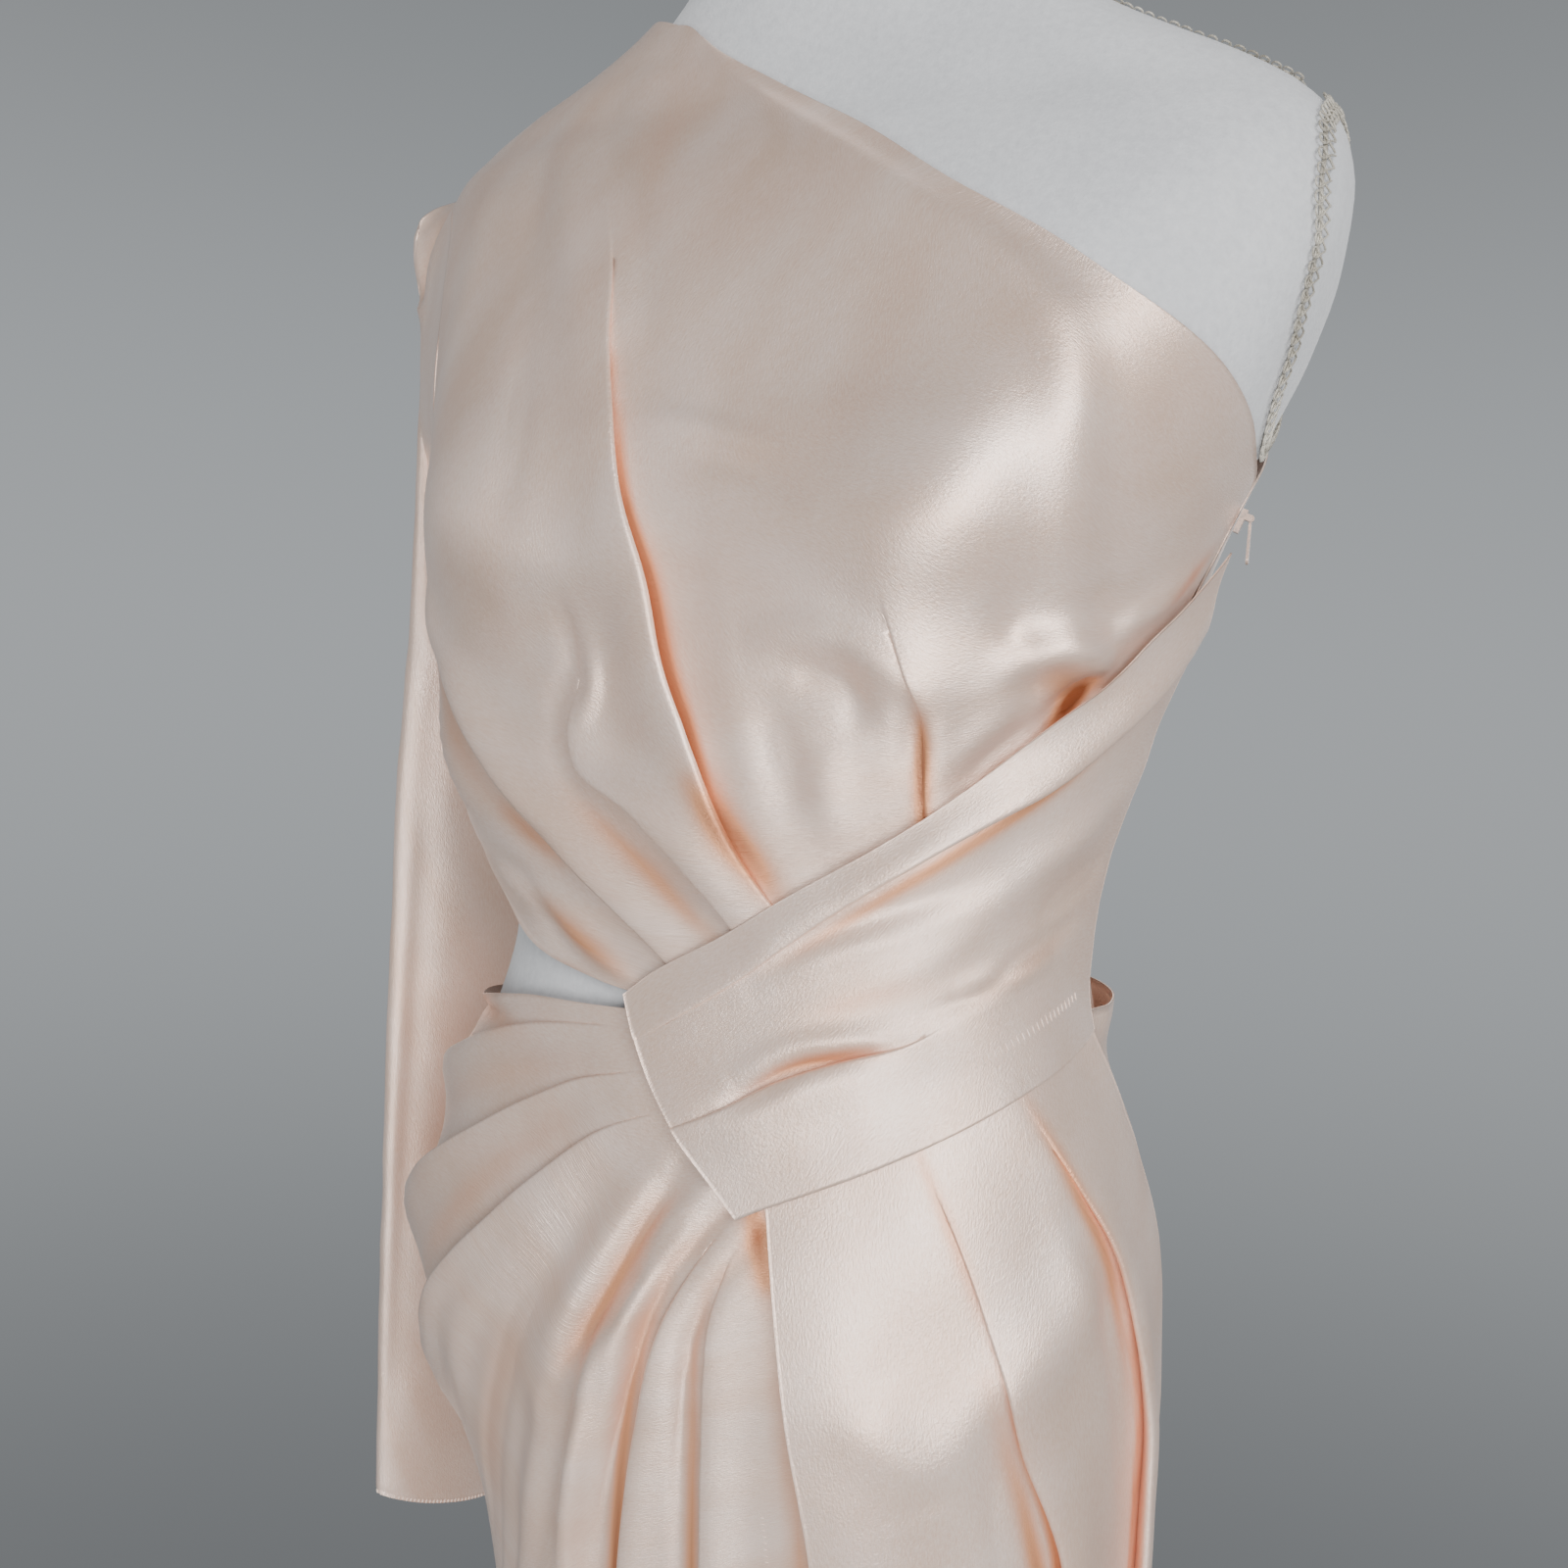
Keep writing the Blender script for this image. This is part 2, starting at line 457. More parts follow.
def shell(name, cloth, node, closed=False):
    """Close a grid of cloth, rows down and columns round, into a thin shell with its cut's
    own distances as the UV map, and put it in the place of its node."""
    inner, deep = cloth
    rows, columns = inner.shape[:2]
    normal = normals(inner, closed)
    probe = (rows * 2 // 3, columns // 2)
    middle = inner[probe[0]].mean(axis=0) if closed else np.zeros(3)
    inward = np.dot(normal[probe][:2], (inner[probe] - middle)[:2]) < 0
    outer = inner + normal * (-CLOTH if inward else CLOTH)
    total = rows * columns
    grid = np.arange(total).reshape(rows, columns)
    grid = np.column_stack([grid, grid[:, 0]]) if closed else grid
    quads = np.stack([grid[:-1, :-1], grid[1:, :-1], grid[1:, 1:], grid[:-1, 1:]], -1)
    quads = quads.reshape(-1, 4)
    borders = [grid[0, ::-1], grid[-1]] + ([] if closed else [grid[:, 0], grid[::-1, -1]])
    rims = [np.stack([p[:-1], p[1:], p[1:] + total, p[:-1] + total], -1) for p in borders]
    faces = np.concatenate([quads, quads[:, ::-1] + total, *rims])
    faces = faces if inward else faces[:, ::-1]
    points = np.concatenate([outer.reshape(-1, 3), inner.reshape(-1, 3)]) * MM
    mesh = bpy.data.meshes.new(name)
    mesh.from_pydata(points.tolist(), [], faces.tolist())
    steps = (np.diff(inner, axis=axis, prepend=inner.take([0], axis=axis)) for axis in (1, 0))
    laid = np.stack([np.cumsum(np.linalg.norm(step, axis=2), axis=axis)
                     for axis, step in zip((1, 0), steps)], -1).reshape(-1, 2) * MM
    corners = np.empty(len(mesh.loops), dtype=np.int32)
    mesh.loops.foreach_get("vertex_index", corners)
    layer = mesh.uv_layers.new(name="cut")
    layer.data.foreach_set("uv", np.tile(laid, (2, 1))[corners].astype(np.float32).ravel())
    shelter = mesh.attributes.new("shelter", "FLOAT", "POINT")
    shelter.data.foreach_set("value", np.tile(deep.ravel(), 2).astype(np.float32))
    mesh.shade_smooth()
    mesh.materials.append(satin)
    made = bpy.data.objects.new(name, mesh)
    bpy.context.scene.collection.objects.link(made)
    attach(made, BODY)
    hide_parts(node)
    return made


# A guide's row is the fold's heights, its width, the way it falls, and its line. A crease's
# row is its lift and width in mm and its line, and a warm shade's row has a share for a lift.
FRONT_EDGE, BACK_EDGE = -90 + SEAM, -90 - SEAM
BODICE_FRONT = [
    ((0, 0, 0), 10, 0, [(FRONT_EDGE, 1388), (-70, 1376), (-53, 1350), (-51, 1322), (-56, 1284),
        (-62, 1250), (-74, 1216), (FRONT_EDGE, 1202), (FRONT_EDGE, 1160), (FRONT_EDGE, 1114), (-75, 1098),
        (-55, 1086), (-43, 1068), (-30, 1058), (-14, 1052), (-4, 1050)]),
    ((0, 0, 0, 0, 0.4, 2.5, 6.5, 6.5, 2.5), 14, -1, [(FRONT_EDGE, 1396), (-55, 1385), (-43, 1350),
        (-43, 1290), (-50, 1230), (-53, 1180), (-42, 1154), (-32, 1128), (-24, 1110), (-15, 1090),
        (-5, 1070), (2, 1056)]),
    ((0, 0, 0, 0, 0, 0, 2.5, 7, 2.5), 15, -1, [(FRONT_EDGE, 1408), (-45, 1398), (-30, 1340), (-25, 1260),
        (-15, 1190), (-14, 1166), (-16, 1146), (-15, 1132), (-7, 1120), (0, 1104), (6, 1089), (12, 1072)]),
    ((0, 0, 0.3, 1, 3, 7, 10, 8, 2), 24, 1, [(FRONT_EDGE, 1420), (-36, 1416), (-15, 1322), (-13, 1286),
        (-11, 1258), (-9, 1232), (-5, 1200), (-3, 1174), (0, 1150), (4, 1126), (9, 1106), (18, 1080)]),
    ((0, 0, 1), 10, 0, [(FRONT_EDGE, 1426), (-34, 1422), (-6, 1322), (-2, 1270), (2, 1220), (6, 1160),
        (12, 1116), (22, 1086)]),
    ((0, 0, 0, 0, 0, 0, 0, 3.5, 4.5), 14, -1, [(FRONT_EDGE, 1432), (-33, 1427), (6, 1345), (20, 1270),
        (26, 1205), (31, 1174), (35, 1156), (37, 1134), (41, 1112)]),
    ((0, 1, 2, 4, 2), 12, 0, [(FRONT_EDGE, 1436), (-32, 1430), (16, 1338), (42, 1270), (52, 1215),
        (56, 1185), (61, 1148)]),
    ((0, 0, 0), 10, 0, [(FRONT_EDGE, 1440), (-55, 1438), (-34, 1431), (-9, 1406), (6, 1376), (20, 1342),
        (30, 1324), (44, 1302), (64, 1282), (77, 1270), (88, 1260), (99, 1253), (97, 1240), (93, 1222),
        (88, 1206)]),
]
FRONT_CREASES = [
    (5, 18, [(22, 1166), (38, 1172), (50, 1180)]),
    (8, 7, [(44, 1172), (48, 1182), (54, 1187), (61, 1184), (69, 1174)]),
    (-14, 5.5, [(66, 1177), (61, 1168), (57, 1156)]),
    (4, 6, [(68, 1172), (64, 1160), (61, 1150)]),
    (4, 8, [(6, 1182), (18, 1186), (26, 1179), (32, 1166), (35, 1158)]),
    (-3, 6, [(14, 1172), (22, 1166), (27, 1154)]),
    (-3, 5, [(29, 1172), (33, 1156), (34, 1136)]),
    (-2.5, 6, [(43, 1204), (46, 1190), (49, 1178)]),
    (-3, 5, [(58, 1208), (63, 1199), (67, 1191)]),
    (3, 6, [(64, 1190), (71, 1200), (84, 1216)]),
    (-2.5, 6, [(56, 1165), (47, 1146), (40, 1131)]),
    (2, 7, [(50, 1172), (45, 1156), (40, 1142)]),
    (-2, 7, [(11, 1160), (14, 1140), (17, 1120)]),
    (2, 8, [(20, 1150), (22, 1130), (24, 1112)]),
    (3, 15, [(-31, 1190), (-22, 1208), (-14, 1206), (-8, 1194)]),
    (-3, 5, [(-17, 1194), (-16, 1172), (-19, 1154), (-20, 1138)]),
    (2.5, 4, [(-13, 1180), (-12, 1164), (-15, 1146)]),
    (-3.5, 6, [(-22, 1146), (-16, 1124), (-8, 1102), (4, 1082)]),
    (-3, 6, [(-33, 1112), (-26, 1104), (-20, 1094)]),
    (3, 6, [(-54, 1096), (-42, 1086), (-28, 1076), (-19, 1064), (-9, 1052)]),
    (-3, 4.5, [(-58, 1094), (-36, 1086), (-23, 1062), (-12, 1052)]),
    (2.2, 4, [(-26, 1082), (-16, 1064), (-7, 1054)]),
    (3, 10, [(-51, 1200), (-53, 1186), (-56, 1164)]),
    (-3, 7, [(-60, 1196), (-50, 1160), (-40, 1130), (-28, 1106)]),
    (2.5, 7, [(-66, 1160), (-56, 1132), (-44, 1108)]),
    (-2.5, 6, [(-72, 1146), (-62, 1118), (-50, 1100)]),
    (2.5, 12, [(-40, 1414), (-23, 1345), (-18, 1300), (-15, 1256)]),
    (-1.2, 7, [(-30, 1408), (-12, 1330), (-9, 1290), (-7, 1262)]),
    (-2, 7, [(-26, 1300), (-24, 1250), (-24, 1210)]),
    (1.5, 4, [(-8, 1262), (0, 1256), (10, 1246)]),
    (-1.2, 4, [(-2, 1246), (6, 1240), (14, 1228)]),
    (1.5, 12, [(-44, 1372), (-40, 1330), (-42, 1290)]),
    (-1.5, 10, [(-34, 1390), (-29, 1350), (-28, 1310)]),
    (1.2, 14, [(0, 1380), (16, 1330), (34, 1296)]),
    (2.5, 7, [(-82, 1370), (-68, 1340), (-66, 1290), (-72, 1240)]),
    (-2, 6, [(-70, 1372), (-60, 1340), (-58, 1290), (-62, 1250)]),
]
FRONT_WARMTH = [
    (1.1, 6, [(0, 1138), (6, 1118), (12, 1102), (17, 1088)]),
    (1.3, 4, [(67, 1179), (62, 1170), (57, 1155)]),
    (0.7, 8, [(50, 1178), (57, 1174), (64, 1168)]),
    (1.2, 3, [(33, 1166), (35, 1150), (36.3, 1134), (38.5, 1114)]),
    (0.6, 4, [(60, 1158), (50, 1140), (40, 1120)]),
    (0.6, 5, [(-36, 1116), (-28, 1104), (-19, 1092)]),
    (0.7, 4, [(-18, 1122), (-8, 1100), (1, 1082), (8, 1072)]),
    (0.8, 4, [(-30, 1080), (-20, 1068), (-8, 1054)]),
    (0.4, 9, [(-60, 1180), (-48, 1140), (-34, 1112)]),
    (0.7, 3, [(76, 1204), (83, 1214), (90, 1226)]),
    (0.15, 9, [(-20, 1420), (-14, 1380), (-12, 1330)]),
]
bodice_front = shell("front_panel", drape(BODICE_FRONT, 190, [18, 20, 26, 12, 26, 22, 26],
                                          creases=FRONT_CREASES, warmth=FRONT_WARMTH), "bodice_front")


# Bodice back: a plain panel, joined to the front at the shoulder and the sleeved side and
# to the zip at the other side. It lies smooth, with soft drags from the shoulder.
BACK_END = 1034.0
BODICE_BACK = [
    ((0, 0, 0), 10, 0, [(BACK_EDGE, 1388), (-112, 1376), (-127, 1350), (-129, 1322), (-122, 1284),
        (-114, 1250), (-104, 1216), (BACK_EDGE, 1202), (BACK_EDGE, 1160), (BACK_EDGE, 1114), (-108, 1096),
        (-128, 1076), (-145, 1060), (-156, BACK_END)]),
    ((0, 2, 1), 14, 0, [(BACK_EDGE, 1404), (-135, 1392), (-150, 1340), (-155, 1240), (-160, 1140),
        (-172, BACK_END)]),
    ((0, 2, 1), 16, 0, [(BACK_EDGE, 1422), (-145, 1410), (-178, 1340), (-195, 1240), (-200, 1140),
        (-212, BACK_END)]),
    ((0, 0, 0, 0, 0, 0, 0.5, 6, 5), 9, 0, [(BACK_EDGE, 1440), (-125, 1436), (-150, 1418), (-176, 1382),
        (-200, 1344), (-224, 1304), (-248, 1270), (-260, 1253), (-262, 1240), (-266, 1222), (-271, 1206),
        (-273, 1160), (-275, 1100), (-273, WAIST - 2)]),
]
BACK_CREASES = [
    (2, 12, [(-118, 1360), (-140, 1300), (-150, 1230)]),
    (-1.5, 9, [(-112, 1300), (-126, 1240), (-134, 1180)]),
    (2, 10, [(-240, 1262), (-222, 1230), (-205, 1206)]),
    (-1.5, 9, [(-250, 1216), (-232, 1190), (-214, 1172)]),
    (2, 9, [(-200, 1120), (-180, 1106), (-160, 1100)]),
    (-1.5, 7, [(-210, 1096), (-188, 1084), (-166, 1080)]),
    (1.5, 8, [(-262, 1110), (-246, 1098), (-230, 1094)]),
    (2.5, 8, [(-128, 1330), (-150, 1290), (-176, 1268)]),
    (-2, 6, [(-124, 1300), (-146, 1264), (-170, 1246)]),
    (2.2, 9, [(-236, 1300), (-214, 1276), (-190, 1266)]),
    (-1.8, 7, [(-258, 1180), (-236, 1160), (-214, 1152), (-196, 1150)]),
    (2.4, 7, [(-264, 1084), (-236, 1088), (-206, 1080), (-176, 1086)]),
    (1.8, 8, [(-160, 1180), (-176, 1150), (-196, 1136)]),
]
bodice_back = shell("back_panel", drape(BODICE_BACK, 150, [26, 26, 40], layer=0.3,
                                        creases=BACK_CREASES), "bodice_back")


# Sleeve: one long narrow tube set into the armhole, which falls straight and empty beside
# the hip. Its cap is cut high, so it stands up in a corner where the arm would turn down.
SLEEVE = [
    (760, -199, 52, 12, 50, 10), (900, -198, 50, 13, 53, 12), (1010, -196, 49, 14, 54, 14),
    (1100, -194, 49, 14, 55, 16), (1175, -191, 50, 14, 55, 18),
]   # height, middle across and behind, half width across and deep, lean in degrees
HEAD_ACROSS, HEAD_BEHIND, HEAD_HEIGHT = -206.0, 40.0, 1284.0
HEAD_FRONT, HEAD_RISE, HEAD_LEAN, HEAD_SLANT = 48.0, 84.0, 5.0, 51.0
ARMHOLE_POINTS = 8    # how many points of a bodice edge line belong to the armhole
SLEEVE_SIDES = 110    # points round the sleeve
SLEEVE_ROWS = (26, 46, 130)    # rows over the cap, from its edge to the tube, down the tube
SLEEVE_RUMPLE = (45.0, 0.8)    # wavelength and height of its rumples
SLEEVE_FOLDS = [
    (-2.5, 0.22, 1360, 1150, 5.3, 5.1), (2.0, 0.20, 1350, 1000, 5.7, 5.5),
    (-2.5, 0.25, 1280, 800, 4.4, 4.6), (2.0, 0.22, 1200, 780, 4.9, 5.0),
    (-2.0, 0.25, 1320, 900, 1.3, 1.6), (2.0, 0.3, 1250, 790, 2.2, 2.0),
    (-1.5, 0.2, 1100, 780, 1.9, 1.7),
]   # lift, width in radians, height of the upper and lower end, angle at each
HEAD_FOLDS = [
    (5, 7, (-190, -24, 1372), (-204, -15, 1338)),
    (-2, 4, (-211, -9, 1362), (-206, -12, 1330)),
    (-2, 4, (-181, -29, 1360), (-203, -15, 1328)),
]   # lift, width, and both ends of the folds where the cap turns down at the shoulder
HEAD_SHADE = 0.35     # warm shade in the first of them
CUFF_SLOPE, CUFF_SAG = 22.0, 7.0    # how much lower the cuff hangs behind and mid face
HEM_ROLL, HEM_WIDE = 0.9, 2.2    # how proud the cuff's rolled hem is, and how wide


def cuff_drop(angle):
    """How far the cuff's edge hangs below its highest point, round the sleeve."""
    return CUFF_SLOPE * (0.5 - 0.5 * np.sin(angle)) + CUFF_SAG * np.cos(angle) ** 2


def from_segment(grid, start, end):
    """Distance of each point of a grid from a straight segment."""
    start, run = np.array(start, float), np.subtract(end, start).astype(float)
    share = np.clip((grid - start) @ run / (run @ run), 0, 1)
    return np.linalg.norm(grid - start - share[:, :, None] * run, axis=2)


def sleeve_grid(sides, cap_rows, drop_rows, tube_rows):
    """Rows of points from the armhole over the cap's edge and down the tube, and their shade."""
    front_turn, front_height = guide(BODICE_FRONT[0][3][:ARMHOLE_POINTS], sides // 2 + 1)
    back_turn, back_height = guide(BODICE_BACK[0][3][:ARMHOLE_POINTS], sides // 2 + 1)
    turn = np.concatenate([front_turn, back_turn[-2:0:-1]])
    height = np.concatenate([front_height, back_height[-2:0:-1]])
    edge = figure(DRESS, turn, height)
    angle = np.arange(sides) * 2 * math.pi / sides
    head = np.stack([HEAD_ACROSS - HEAD_LEAN * np.cos(angle),
                     HEAD_BEHIND - HEAD_FRONT * np.sin(angle) * np.abs(np.sin(angle))
                     - HEAD_SLANT * np.maximum(np.cos(angle), 0) ** 2,
                     HEAD_HEIGHT + HEAD_RISE * np.cos(angle)], -1)
    rows = np.array(SLEEVE, float)

    def section(at):
        across, behind, wide, deep, lean = (smooth(rows[:, 0], rows[:, k], at)
                                            for k in range(1, 6))
        a = np.radians(lean)
        thin, long = -wide * np.cos(angle), -deep * np.sin(angle)
        return np.stack([across + thin * np.cos(a) + long * np.sin(a),
                         behind - thin * np.sin(a) + long * np.cos(a),
                         at - (rows[-1, 0] - at) / (rows[-1, 0] - rows[0, 0])
                         * cuff_drop(angle)], -1)

    first = section(rows[-1, 0])
    marks = [np.zeros(sides), np.linalg.norm(head - edge, axis=1)]
    marks.append(marks[1] + np.linalg.norm(first - head, axis=1))
    spans = np.concatenate([marks[1] * np.linspace(0, 1, cap_rows, endpoint=False)[:, None],
                            marks[1] + (marks[2] - marks[1])
                            * np.linspace(0, 1, drop_rows, endpoint=False)[:, None]])
    upper = np.zeros((len(spans), sides, 3))
    for i in range(sides):
        for k in range(3):
            upper[:, i, k] = smooth([m[i] for m in marks],
                                    [edge[i, k], head[i, k], first[i, k]], spans[:, i])
    lower = np.array([section(at) for at in np.linspace(rows[-1, 0], rows[0, 0], tube_rows)])
    grid = np.concatenate([upper, lower])
    lift = rumple(grid, *SLEEVE_RUMPLE)
    for height_of, width, high, low, from_angle, to_angle in SLEEVE_FOLDS:
        share = np.clip((high - grid[:, :, 2]) / (high - low), 0, 1)
        at = from_angle + (to_angle - from_angle) * share
        away = (angle[None] - at + math.pi) % (2 * math.pi) - math.pi
        lift += height_of * np.sin(np.pi * share) ** 0.7 * np.exp(-(away / width) ** 2)
    for height_of, width, start, end in HEAD_FOLDS:
        lift += height_of * np.exp(-(from_segment(grid, start, end) / width) ** 2)
    lift *= np.clip(np.arange(len(grid)) / cap_rows * 2, 0, 1)[:, None]
    lift += HEM_ROLL * np.exp(-((grid[:, :, 2] - grid[-1:, :, 2]) / HEM_WIDE) ** 2)
    width, start, end = HEAD_FOLDS[0][1:]
    deep = HEAD_SHADE * np.exp(-(from_segment(grid, start, end) / width) ** 2)
    return grid + normals(grid, True) * lift[:, :, None], deep


sleeve = shell("long_sleeve", sleeve_grid(SLEEVE_SIDES, *SLEEVE_ROWS), "sleeve", closed=True)


# Sash: a wide band across the waist, faced and pressed, with three pleats that run from the
# zip seam to its blunt end on the other hip. It covers the ends of the bodice and skirt.
SASH_LAYER = 6.8
SASH = [
    ((0, 0, 0), 10, 0, [(-8, 1050), (-3, 1061), (8, 1078), (18, 1095), (37, 1125), (56, 1162), (64, 1175),
        (72, 1193), (82, 1212), (90, 1228)]),
    ((2, 3, 4, 5.5, 6.5, 6, 2.5), 13, 1, [(-5, 1036), (8, 1058), (19, 1080), (37, 1112), (49, 1130),
        (58, 1142), (79, 1180), (90, 1200)]),
    ((0, 1.5, 2.5, 1, 1), 12, 0, [(-2, 1022), (10, 1038), (24, 1058), (40, 1078), (58, 1104), (74, 1128),
        (87.5, 1146)]),
    ((2.5, 4.5, 4, 2, 0.8, 0.5, 0), 15, -1, [(3, 1006), (10, 1016), (17, 1027), (28, 1038), (37, 1044),
        (46, 1052), (58, 1060), (77, 1073), (86, 1080)]),
    ((0, 0, 0), 10, 0, [(12, 980), (16, 986), (39, 1012), (59, 1028), (72, 1036), (86, 1045)]),
]
SASH_CREASES = [
    (2.2, 5, [(10, 1026), (18, 1039), (25, 1045), (38, 1051)]),
    (-3, 4.5, [(8, 1014), (15, 1025), (22, 1036), (34, 1044)]),
    (-2.5, 4, [(40, 1056), (52, 1066), (60, 1076), (78, 1092)]),
    (2.5, 5, [(46, 1064), (58, 1072), (70, 1080)]),
    (1.5, 5, [(12, 1056), (24, 1074), (38, 1088), (53, 1102)]),
    (-1.8, 5, [(13, 1064), (23, 1082), (38, 1095), (53, 1109)]),
    (1.8, 6, [(30, 1100), (46, 1120), (60, 1142)]),
    (2, 7, [(56, 1104), (66, 1118), (78, 1134)]),
    (-2, 6, [(62, 1088), (72, 1102), (84, 1114)]),
    (1.5, 4, [(16, 1032), (28, 1044), (40, 1050)]),
]
SASH_WARMTH = [
    (0.9, 2.6, [(15, 1067), (26, 1086), (38, 1106), (50, 1125), (60, 1139), (78, 1172)]),
    (0.8, 3, [(12, 1022), (19, 1034), (28, 1041), (36, 1045)]),
    (0.2, 3, [(48, 1058), (60, 1072), (78, 1090)]),
    (0.25, 5, [(20, 1050), (32, 1062), (44, 1070)]),
]
sash = shell("sash_band", drape(SASH, 150, [26, 26, 26, 30], layer=SASH_LAYER,
                                creases=SASH_CREASES, warmth=SASH_WARMTH,
                                rumpled=0.5), "sash")


# Skirt front, draped: it starts under the sash's end in knife pleats that fan round the
# sleeved hip and open towards the hem, each with its folded edge up and its root below.
SKIRT_DRAPE = [
    ((0, 0.5, 1, 2.5, 6, 5), 7, 0, [(-4, 1045), (-17, 1043), (-30, 1041), (-44, 1036), (-60, 1029),
        (-76, 1025), (FRONT_EDGE, 1022)]),
    ((0.8, 3.5, 5, 5, 3), 14, -1, [(-1, 1037), (-14, 1035), (-27, 1030), (-47, 1014), (-60, 1000),
        (-76, 985), (FRONT_EDGE, 972)]),
    ((0.8, 5, 8, 9, 6), 18, -1, [(2, 1025), (-13, 1016), (-22, 1004), (-34, 984), (-49, 960), (-60, 942),
        (-75, 922), (FRONT_EDGE, 908)]),
    ((0.8, 6, 10, 7, 3), 20, -1, [(5, 1014), (-8, 1000), (-18, 976), (-28, 946), (-42, 906), (-60, 868),
        (FRONT_EDGE, 822)]),
    ((0, -2, -4, -3, -2), 13, 0, [(7, 1006), (-7, 972), (-15, 938), (-32, 856), (-50, 770), (-70, 690),
        (FRONT_EDGE, 620)]),
    ((0.5, 4, 6, 4, 3), 14, 0, [(9, 1001), (-2, 974), (-8, 935), (-20, 850), (-40, 720), (-64, 560),
        (FRONT_EDGE, HEM)]),
    ((0.8, 8, 9, 6, 4), 9, 0, [(11, 996), (2, 972), (-1, 935), (-7, 890), (-18, 800), (-32, 640),
        (-52, HEM)]),
    ((0.8, 6, 8, 7, 6, 6, 6), 12, -1, [(14, 989), (6, 955), (3, 934), (1, 905), (-2, 844), (-10, 680),
        (-22, HEM)]),
    ((0.8, 5, 7, 7, 6, 6, 6), 12, -1, [(17, 986), (11, 962), (9, 935), (9, 892), (9, 850), (6, 680),
        (2, HEM)]),
    ((0, 0, 0), 10, 0, [(22, 990), (26, 960), (32, 925), (36, 880), (38, 840), (40, 680), (40, HEM)]),
]
DRAPE_CREASES = [
    (-6, 6, [(5, 1000), (0, 972), (-4, 945), (-9, 918), (-13, 900)]),
    (3.5, 5, [(7, 984), (3, 958), (-2, 935), (-7, 908), (-11, 894)]),
    (3.5, 7, [(0, 992), (-6, 966), (-10, 940), (-15, 912), (-17, 896)]),
    (2, 8, [(-19, 905), (-15, 888), (-8, 896)]),
    (-7, 4, [(11, 984), (3, 955), (0, 932), (-2, 900), (-6, 840), (-14, 680)]),
    (-6, 4, [(15, 976), (8.5, 950), (6, 925), (6, 890), (6, 840), (3, 680)]),
    (4, 4, [(8, 990), (-2, 957), (-5, 930), (-7, 900), (-12, 840), (-20, 700)]),
    (2, 9, [(-15, 888), (-19, 850), (-24, 800)]),
    (-2, 10, [(-10, 880), (-13, 840), (-17, 790)]),
    (-3, 7, [(-10, 1012), (-24, 990), (-38, 966), (-54, 932)]),
    (3, 8, [(-14, 972), (-24, 934), (-36, 896), (-46, 850)]),
    (-3, 7, [(-16, 1022), (-32, 1008), (-50, 984), (-66, 958)]),
    (-5, 4, [(-40, 1029), (-54, 1027), (-70, 1024), (-84, 1020)]),
    (4, 5, [(-36, 1040), (-54, 1033), (-74, 1028), (-86, 1024)]),
    (3, 8, [(-50, 1012), (-64, 996), (-78, 980)]),
    (-2.5, 7, [(-30, 930), (-44, 890), (-60, 846)]),
    (3, 10, [(-60, 900), (-70, 800), (-74, 700)]),
    (-3, 11, [(-48, 840), (-58, 740), (-64, 640)]),
    (2.5, 10, [(-24, 800), (-34, 700), (-44, 600)]),
    (-2.5, 9, [(-12, 780), (-20, 660), (-28, 540)]),
    (2, 9, [(-4, 760), (-8, 640), (-12, 520)]),
]
DRAPE_WARMTH = [
    (1.4, 3.4, [(11, 984), (3.2, 957), (0.2, 934), (-1.8, 905), (-5, 844), (-13, 680), (-25, 440)]),
    (1.2, 3, [(15, 978), (9.2, 958), (6.7, 935), (6.7, 892), (6.5, 850), (3, 680), (-1, 440)]),
    (1.1, 5, [(13, 992), (14.5, 972), (16, 952)]),
    (0.9, 4, [(15.5, 958), (18.5, 908), (21, 864), (25, 700), (28, 440)]),
    (0.3, 7, [(-12, 1006), (-24, 981), (-38, 945), (-52, 905)]),
    (0.8, 4.5, [(2, 985), (-3, 955), (-8, 925), (-13, 902)]),
    (0.6, 5, [(-30, 1026), (-50, 1027), (-72, 1023)]),
    (0.3, 8, [(-16, 930), (-28, 880), (-40, 820)]),
    (0.2, 6, [(-10, 1026), (-26, 1014), (-46, 994), (-62, 970)]),
]
skirt_drape = shell("draped_skirt", drape(SKIRT_DRAPE, 210, [10, 14, 16, 20, 20, 18, 20, 22, 22],
                                          creases=DRAPE_CREASES, warmth=DRAPE_WARMTH), "skirt_drape")


# Skirt front, wrap: the panel on the zip side, which laps over the draped one. Two long
# pleats start at the sash's lower edge and open into flat planes.
SKIRT_WRAP = [
    ((0, 0, 0), 10, 0, [(15, 996), (17, 956), (20, 908), (23, 864), (27, 700), (30, HEM)]),
    ((0, -1, -1), 16, 0, [(27, 1012), (31, 975), (36, 925), (44, 880), (52, 700), (56, HEM)]),
    ((0.8, 5, 9, 12, 11, 9, 8), 20, -1, [(36, 1026), (42, 986), (47, 950), (52, 915), (61, 866), (70, 700),
        (74, HEM)]),
    ((0.8, 5, 7.5, 5, 3, 1, 0.5), 16, -1, [(57, 1042), (65, 1006), (71, 984), (78, 950), (84, 900),
        (86, 700), (87, HEM)]),
    ((0, 0, 0), 10, 0, [(86 - SEAM, 1048), (96 - SEAM, 1010), (100 - SEAM, 960), (100 - SEAM, 900),
        (99 - SEAM, 700), (98 - SEAM, HEM)]),
]
